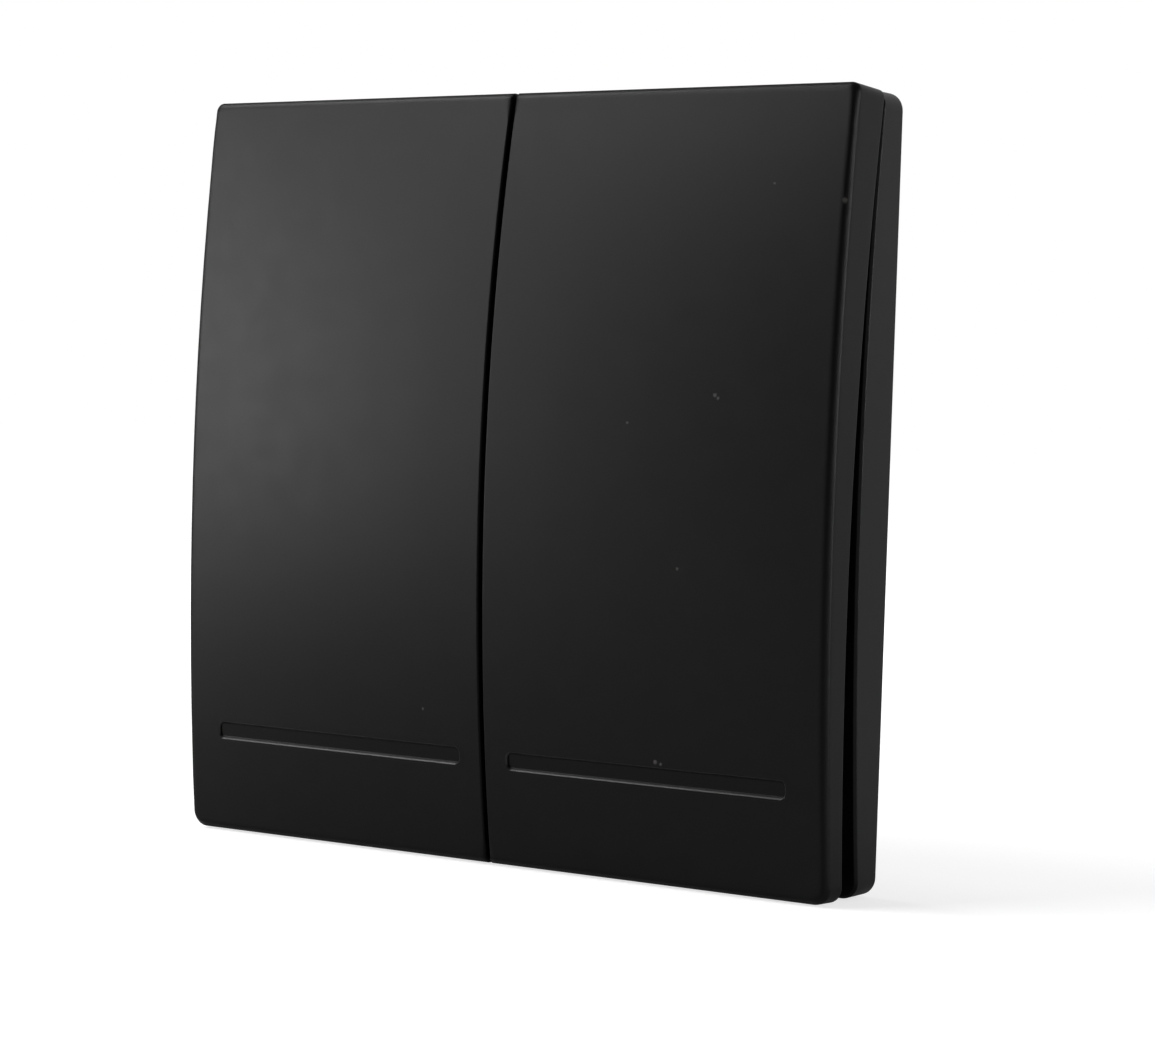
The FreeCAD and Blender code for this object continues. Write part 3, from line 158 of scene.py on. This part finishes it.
# Dust specks on the keys, as the photograph shows them: x, depth, z and radius in millimetres.
# Noise makes their outlines ragged, and they fade in from the radius to a part of it.
SPECK_COLOUR = (0.05, 0.048, 0.045)
SPECK_RAGGED = 0.35
SPECK_GROWN = 0.17
SPECK_SCALE = 3500
SPECK_CORE = 0.4
SPECKS = (
    (42.55, 11.5, 30.75, 0.35),
    (34.25, 11.59, 32.61, 0.15),
    (28.95, 13.49, 10.21, 0.3),
    (29.3, 13.45, 9.9, 0.22),
    (18.42, 13.96, 6.94, 0.2),
    (25.18, 13.81, -8.39, 0.22),
    (-7.95, 13.1, -26.04, 0.18),
    (22.49, 12.58, -29.34, 0.3),
    (23.2, 12.55, -29.5, 0.22),
)


def add_object(name, data):
    """An object in the scene's own collection."""
    thing = bpy.data.objects.new(name, data)
    bpy.context.scene.collection.objects.link(thing)
    return thing


def new_material(name):
    """A material, its node tree and its Principled shader."""
    material = bpy.data.materials.new(name)
    material.use_nodes = True
    tree = material.node_tree
    return material, tree, tree.nodes["Principled BSDF"]


def add_node(tree, kind, **values):
    """A node with inputs or settings given by name."""
    node = tree.nodes.new(kind)
    for key, value in values.items():
        if key in node.inputs:
            node.inputs[key].default_value = value
        else:
            setattr(node, key, value)
    return node


def calculate(tree, operation, *values):
    """A Math node's result from outputs and numbers."""
    node = add_node(tree, "ShaderNodeMath", operation=operation)
    for socket, value in zip(node.inputs, values):
        if isinstance(value, float):
            socket.default_value = value
        else:
            tree.links.new(value, socket)
    return node.outputs[0]


def map_range(tree, value, source, target, interpolation="LINEAR"):
    """Maps a value from one range onto another."""
    node = add_node(tree, "ShaderNodeMapRange", interpolation_type=interpolation)
    node.inputs["From Min"].default_value, node.inputs["From Max"].default_value = source
    node.inputs["To Min"].default_value, node.inputs["To Max"].default_value = target
    tree.links.new(value, node.inputs["Value"])
    return node.outputs["Result"]


def object_place(tree):
    """A point's place in the object's own metres."""
    return add_node(tree, "ShaderNodeTexCoord").outputs["Object"]


def noise(tree, scale, detail):
    """Noise in the object's own metres; scale is in cells per metre."""
    pattern = add_node(tree, "ShaderNodeTexNoise", Scale=scale, Detail=detail)
    tree.links.new(object_place(tree), pattern.inputs["Vector"])
    return pattern.outputs["Fac"]


def spread(tree, value, middle, reach):
    """Spreads a noise value round a middle."""
    return map_range(tree, value, (NOISE_LOW, NOISE_HIGH), (middle - reach, middle + reach))


def tint(tree, value, first, second):
    """Blends two colours by a value."""
    mix = add_node(tree, "ShaderNodeMix", data_type="RGBA")
    mix.inputs["A"].default_value = (*first, 1)
    mix.inputs["B"].default_value = (*second, 1)
    tree.links.new(value, mix.inputs["Factor"])
    return mix.outputs["Result"]


def bump(tree, height, depth):
    """A Bump node for a value times a depth in millimetres."""
    node = add_node(tree, "ShaderNodeBump", Strength=1.0, Distance=depth * MM)
    tree.links.new(height, node.inputs["Height"])
    return node


def soft_edges(tree, softness=0.0):
    """A Bevel node of a radius in millimetres."""
    return add_node(tree, "ShaderNodeBevel", samples=BEVEL_SAMPLES, Radius=softness * MM)


def surface(name, colour, roughness, metal=0.0, vary=0.15):
    """A plain moulded, plated or painted surface with fine grain and slight variation."""
    material, tree, shader = new_material(name)
    darker = tuple(part * (1 - vary) for part in colour)
    lighter = tuple(min(1, part * (1 + vary)) for part in colour)
    shade = tint(tree, noise(tree, CLOUD_SCALE, 4), darker, lighter)
    gloss = spread(tree, noise(tree, PATCH_SCALE, 5), roughness, ROUGHNESS_SPREAD)
    grain = bump(tree, noise(tree, GRAIN_SCALE, 2), GRAIN_DEPTH)
    tree.links.new(shade, shader.inputs["Base Color"])
    tree.links.new(gloss, shader.inputs["Roughness"])
    tree.links.new(grain.outputs["Normal"], shader.inputs["Normal"])
    shader.inputs["Metallic"].default_value = metal
    return material


def edge_softness(tree):
    """The radius that a key's edges look rounded by: larger at the outer edges."""
    parts = add_node(tree, "ShaderNodeSeparateXYZ")
    tree.links.new(object_place(tree), parts.inputs["Vector"])
    sizes = [calculate(tree, "ABSOLUTE", parts.outputs[name]) for name in ("X", "Z")]
    return map_range(tree, calculate(tree, "MAXIMUM", *sizes), (OUTER_FROM * MM, OUTER_TO * MM),
                     (EDGE_SOFTNESS * MM, OUTER_SOFTNESS * MM), "SMOOTHSTEP")


def key_normal(tree):
    """A key's softened normal: the edges at the back of its walls stay sharper."""
    wide, narrow = soft_edges(tree), soft_edges(tree, EDGE_SOFTNESS)
    tree.links.new(edge_softness(tree), wide.inputs["Radius"])
    parts = add_node(tree, "ShaderNodeSeparateXYZ")
    tree.links.new(wide.outputs["Normal"], parts.inputs["Vector"])
    backward = map_range(tree, parts.outputs["Y"], (0, BACKWARD), (0, 1))
    mix = add_node(tree, "ShaderNodeMix", data_type="VECTOR")
    tree.links.new(backward, mix.inputs["Factor"])
    tree.links.new(wide.outputs["Normal"], mix.inputs["A"])
    tree.links.new(narrow.outputs["Normal"], mix.inputs["B"])
    return mix.outputs["Result"]


def speck_mask(tree):
    """1 at the few dust specks on the keys, 0 elsewhere."""
    ragged = calculate(tree, "MULTIPLY_ADD", noise(tree, SPECK_SCALE, 2),
                       SPECK_RAGGED * MM, -SPECK_GROWN * MM)
    place = object_place(tree)
    total = 0.0
    for x, depth, z, radius in SPECKS:
        away = add_node(tree, "ShaderNodeVectorMath", operation="DISTANCE")
        away.inputs[1].default_value = (x * MM, -depth * MM, z * MM)
        tree.links.new(place, away.inputs[0])
        distance = calculate(tree, "ADD", away.outputs["Value"], ragged)
        speck = map_range(tree, distance, (radius * MM, radius * MM * SPECK_CORE), (0, 1))
        total = calculate(tree, "MAXIMUM", total, speck)
    return total


def satin_shell(name, specular, softness):
    """The shell's satin black with specks; softness is in millimetres, or "key" for a key's."""
    material, tree, shader = new_material(name)
    darker, lighter = SHELL_TONE * (1 - SHELL_TONE_SPREAD), SHELL_TONE * (1 + SHELL_TONE_SPREAD)
    shade = tint(tree, noise(tree, SHELL_CLOUD_SCALE, 4), (darker,) * 3, (lighter,) * 3)
    speckled = add_node(tree, "ShaderNodeMix", data_type="RGBA")
    speckled.inputs["B"].default_value = (*SPECK_COLOUR, 1)
    tree.links.new(shade, speckled.inputs["A"])
    tree.links.new(speck_mask(tree), speckled.inputs["Factor"])
    gloss = spread(tree, noise(tree, SHELL_PATCH_SCALE, 4), SHELL_ROUGHNESS, SHELL_ROUGHNESS_SPREAD)
    texture = bump(tree, noise(tree, SHELL_TEXTURE_SCALE, 2), SHELL_TEXTURE)
    if softness == "key":
        tree.links.new(key_normal(tree), texture.inputs["Normal"])
    elif softness > 0:
        tree.links.new(soft_edges(tree, softness).outputs["Normal"], texture.inputs["Normal"])
    tree.links.new(speckled.outputs["Result"], shader.inputs["Base Color"])
    tree.links.new(gloss, shader.inputs["Roughness"])
    tree.links.new(texture.outputs["Normal"], shader.inputs["Normal"])
    shader.inputs["Specular IOR Level"].default_value = specular
    return material


MATERIALS = {
    "black_shell": satin_shell("satin_black", SHELL_SPECULAR, EDGE_SOFTNESS),
    "black_frame": surface("moulded_black", (0.022, 0.022, 0.023), 0.5),
    "grey_moulding": surface("moulded_grey", (0.3, 0.31, 0.32), 0.42),
    "frame_moulding": surface("moulded_light_grey", (0.6, 0.61, 0.62), 0.4, vary=0.05),
    "bobbin_moulding": surface("moulded_white", (0.74, 0.73, 0.7), 0.4, vary=0.04),
    "copper_wire": surface("copper", (0.72, 0.3, 0.14), 0.3, metal=0.9),
    "soft_iron": surface("iron", (0.5, 0.5, 0.5), 0.35, metal=1.0),
    "magnet_nickel": surface("nickel", (0.62, 0.6, 0.56), 0.2, metal=1.0, vary=0.05),
    "spring_steel": surface("steel", (0.55, 0.55, 0.56), 0.25, metal=1.0, vary=0.05),
    "screw_steel": surface("zinc", (0.62, 0.62, 0.62), 0.28, metal=1.0, vary=0.05),
    "board_green": surface("solder_mask", (0.02, 0.14, 0.06), 0.3, vary=0.2),
    "chip_black": surface("resin_black", (0.025, 0.025, 0.025), 0.5),
    "capacitor_yellow": surface("resin_yellow", (0.7, 0.45, 0.08), 0.4),
    "crystal_can": surface("can", (0.66, 0.66, 0.64), 0.25, metal=1.0, vary=0.04),
    "silicone": surface("soft_silicone", (0.5, 0.52, 0.53), 0.5),
    "antenna_wire": surface("plated_strip", (0.8, 0.65, 0.35), 0.25, metal=1.0, vary=0.05),
}

key_shell = satin_shell("satin_black_key", KEY_SPECULAR, "key")
lip_flat = satin_shell("satin_black_lip", KEY_SPECULAR, 0)
lip_wall = satin_shell("satin_black_wall", WALL_SPECULAR, WALL_SOFTNESS)

slot_of_node = {row["node"]: row["material_slot"] for row in frame["record"]["subparts"]}
for node_name, node in frame["nodes"].items():
    slot_name = slot_of_node[node_name]
    node.data.materials.clear()
    shell = key_shell if node_name.startswith("rocker") else MATERIALS[slot_name]
    node.data.materials.append(shell)


def bar_outline(low, high, half, corner):
    """Points and outward normals round a bar with rounded corners, from low to high in x."""
    outline = []
    for x, z, first in ((high - corner, half - corner, 0), (low + corner, half - corner, 90),
                        (low + corner, corner - half, 180), (high - corner, corner - half, 270)):
        for step in range(CORNER_STEPS + 1):
            angle = math.radians(first + step * 90 / CORNER_STEPS)
            normal = Vector((math.cos(angle), math.sin(angle)))
            outline.append((Vector((x, z)) + normal * corner, normal))
    edge = []
    for (start, normal), (end, _) in zip(outline, outline[1:] + outline[:1]):
        parts = max(1, round((end - start).length / LIP_SPACING))
        edge += [(start.lerp(end, part / parts), normal) for part in range(parts)]
    return edge


def make_lip(side, sign):
    """A thin lip with sloped walls that rounds the corners of the bar sunk into a key."""
    node = frame["nodes"][f"rocker_{side}"]
    front = BVHTree.FromPolygons([vertex.co for vertex in node.data.vertices],
                                 [face.vertices for face in node.data.polygons])
    about = Matrix.Translation(Vector(HINGE) * MM)
    rest = about @ Matrix.Rotation(-math.radians(REST_ANGLE), 4, "X") @ about.inverted()
    inward = rest.to_3x3() @ Vector((0, 1, 0))
    reach = MARK_HALF + LIP_WIDTH

    def skin(x, z):
        """The key's front before the bar was sunk, from the front above and below the bar."""
        starts = [Vector((x, RAY_START, MARK_HEIGHT + way * reach)) * MM for way in (-1, 1)]
        below, above = (front.ray_cast(rest @ start, inward)[0] for start in starts)
        return below.lerp(above, (z / reach + 1) / 2)

    # Out from the bar's outline and up from the front: the flat part's outer and inner edge,
    # the foot of the slope and the foot of the wall.
    rings = ((LIP_WIDTH, LIP_RAISE), (0, LIP_RAISE), (-LIP_EDGE, -LIP_EDGE),
             (-LIP_EDGE, -MARK_SINK - LIP_RAISE))
    count = len(rings)
    edge = bar_outline(*MARK_SPAN, MARK_HALF, MARK_CORNER)
    points, faces = [], []
    for place, normal in edge:
        for offset, height in rings:
            x, z = place + normal * offset
            points.append(skin(sign * x, z) - inward * height * MM)
    for step in range(len(edge)):
        here, after = count * step, count * ((step + 1) % len(edge))
        for ring in range(count):
            inner = (ring + 1) % count
            faces.append((here + ring, after + ring, after + inner, here + inner))
    mesh = bpy.data.meshes.new(f"mark_lip_{side}")
    mesh.from_pydata(points, [], faces)
    mesh.update()
    if mesh.polygons[0].normal.dot(inward) > 0:
        mesh.flip_normals()
    mesh.materials.append(lip_flat)
    mesh.materials.append(lip_wall)
    for index, face in enumerate(mesh.polygons):
        face.material_index = min(index % count, 1)
    lip = add_object(f"mark_lip_{side}", mesh)
    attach(lip, f"{side}_rocker")


make_lip("left", -1)
make_lip("right", 1)


def soft_piece(node_name):
    """A copy of a soft node's own shape in the node's place, with the node itself hidden."""
    node = frame["nodes"][node_name]
    piece = add_object(f"{node_name}_soft", node.data.copy())
    piece.matrix_world = node.matrix_world
    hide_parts(node_name)
    return piece


for side in ("left", "right"):
    nipple = soft_piece(f"contact_nipple_{side}")
    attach(nipple, "base")
    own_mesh(nipple)
    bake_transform(soft_piece(f"torsion_spring_{side}"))


def make_camera():
    """The camera that the photograph was taken from."""
    yaw, down, roll = (math.radians(angle) for angle in (CAMERA_YAW, CAMERA_DOWN, CAMERA_ROLL))
    level = math.cos(down)
    ahead = Vector((-math.sin(yaw) * level, math.cos(yaw) * level, -math.sin(down)))
    right = Vector((math.cos(yaw), math.sin(yaw), 0))
    up = right.cross(ahead)
    turned_right = right * math.cos(roll) + up * math.sin(roll)
    turned_up = up * math.cos(roll) - right * math.sin(roll)
    data = bpy.data.cameras.new("camera")
    data.sensor_width = SENSOR_WIDTH
    data.lens = CAMERA_FOCUS_PIXELS * SENSOR_WIDTH / IMAGE_WIDTH
    data.clip_start = CLIP_START
    camera = add_object("camera", data)
    turn = Matrix((turned_right, turned_up, -ahead)).transposed()
    camera.matrix_world = Matrix.Translation(Vector(CAMERA_PLACE) * MM) @ turn.to_4x4()
    bpy.context.scene.camera = camera


def make_floor():
    """A plain pale floor just under the object, white in the camera, which keeps the shadow."""
    low = cad_box[0].z - FLOOR_DROP * MM
    reach = FLOOR_REACH
    mesh = bpy.data.meshes.new("floor")
    mesh.from_pydata([(-reach, -reach, low), (reach, -reach, low), (reach, reach, low),
                      (-reach, reach, low)], [], [(0, 1, 2, 3)])
    floor = add_object("floor", mesh)
    material, tree, shader = new_material("pale_floor")
    floor.data.materials.append(material)
    ray = add_node(tree, "ShaderNodeLightPath").outputs
    mirrored = calculate(tree, "MAXIMUM", ray["Is Glossy Ray"], ray["Is Transmission Ray"])
    share = calculate(tree, "MULTIPLY", mirrored, FLOOR_REFLECTED)
    shown = calculate(tree, "MAXIMUM", ray["Is Camera Ray"], share)
    away = add_node(tree, "ShaderNodeVectorMath", operation="LENGTH")
    tree.links.new(object_place(tree), away.inputs[0])
    glow = map_range(tree, away.outputs["Value"], (GLOW_FROM, GLOW_TO),
                     (GLOW_AT_OBJECT, BACKGROUND), "SMOOTHSTEP")
    strength = calculate(tree, "MULTIPLY", shown, glow)
    shader.inputs["Base Color"].default_value = (FLOOR_TONE, FLOOR_TONE, FLOOR_TONE, 1)
    shader.inputs["Roughness"].default_value = FLOOR_ROUGHNESS
    shader.inputs["Specular IOR Level"].default_value = 0.0
    shader.inputs["Emission Color"].default_value = (1, 1, 1, 1)
    tree.links.new(strength, shader.inputs["Emission Strength"])


def make_world():
    """A white backdrop behind the object and a dim room before it; the camera sees white."""
    world = bpy.data.worlds.new("studio")
    bpy.context.scene.world = world
    world.use_nodes = True
    tree = world.node_tree
    direction = add_node(tree, "ShaderNodeTexCoord").outputs["Generated"]
    parts = add_node(tree, "ShaderNodeSeparateXYZ")
    tree.links.new(direction, parts.inputs["Vector"])
    behind = map_range(tree, parts.outputs["Y"], (BACKDROP_FROM, BACKDROP_TO), (ROOM, BACKDROP),
                       "SMOOTHSTEP")
    ray = add_node(tree, "ShaderNodeLightPath")
    strength = add_node(tree, "ShaderNodeMix", data_type="FLOAT")
    tree.links.new(ray.outputs["Is Camera Ray"], strength.inputs["Factor"])
    tree.links.new(behind, strength.inputs["A"])
    strength.inputs["B"].default_value = BACKGROUND
    shade = tree.nodes["Background"]
    shade.inputs["Color"].default_value = (1, 1, 1, 1)
    tree.links.new(strength.outputs["Result"], shade.inputs["Strength"])


def make_softbox(name, azimuth, elevation, width, height, power):
    """A rectangular soft light that faces the object."""
    turn, lift = math.radians(azimuth), math.radians(elevation)
    level = math.cos(lift)
    out = Vector((math.sin(turn) * level, -math.cos(turn) * level, math.sin(lift)))
    data = bpy.data.lights.new(name, "AREA")
    data.shape = "RECTANGLE"
    data.size = width
    data.size_y = height
    data.energy = power
    light = add_object(name, data)
    light.location = out * LIGHT_DISTANCE
    light.rotation_mode = "QUATERNION"
    light.rotation_quaternion = (-out).to_track_quat("-Z", "Y")
    light.visible_camera = False


make_camera()
make_floor()
make_world()
for light_name, row in LIGHTS.items():
    make_softbox(light_name, *row)
bpy.context.scene.view_settings.view_transform = "Standard"

bpy.context.view_layer.update()
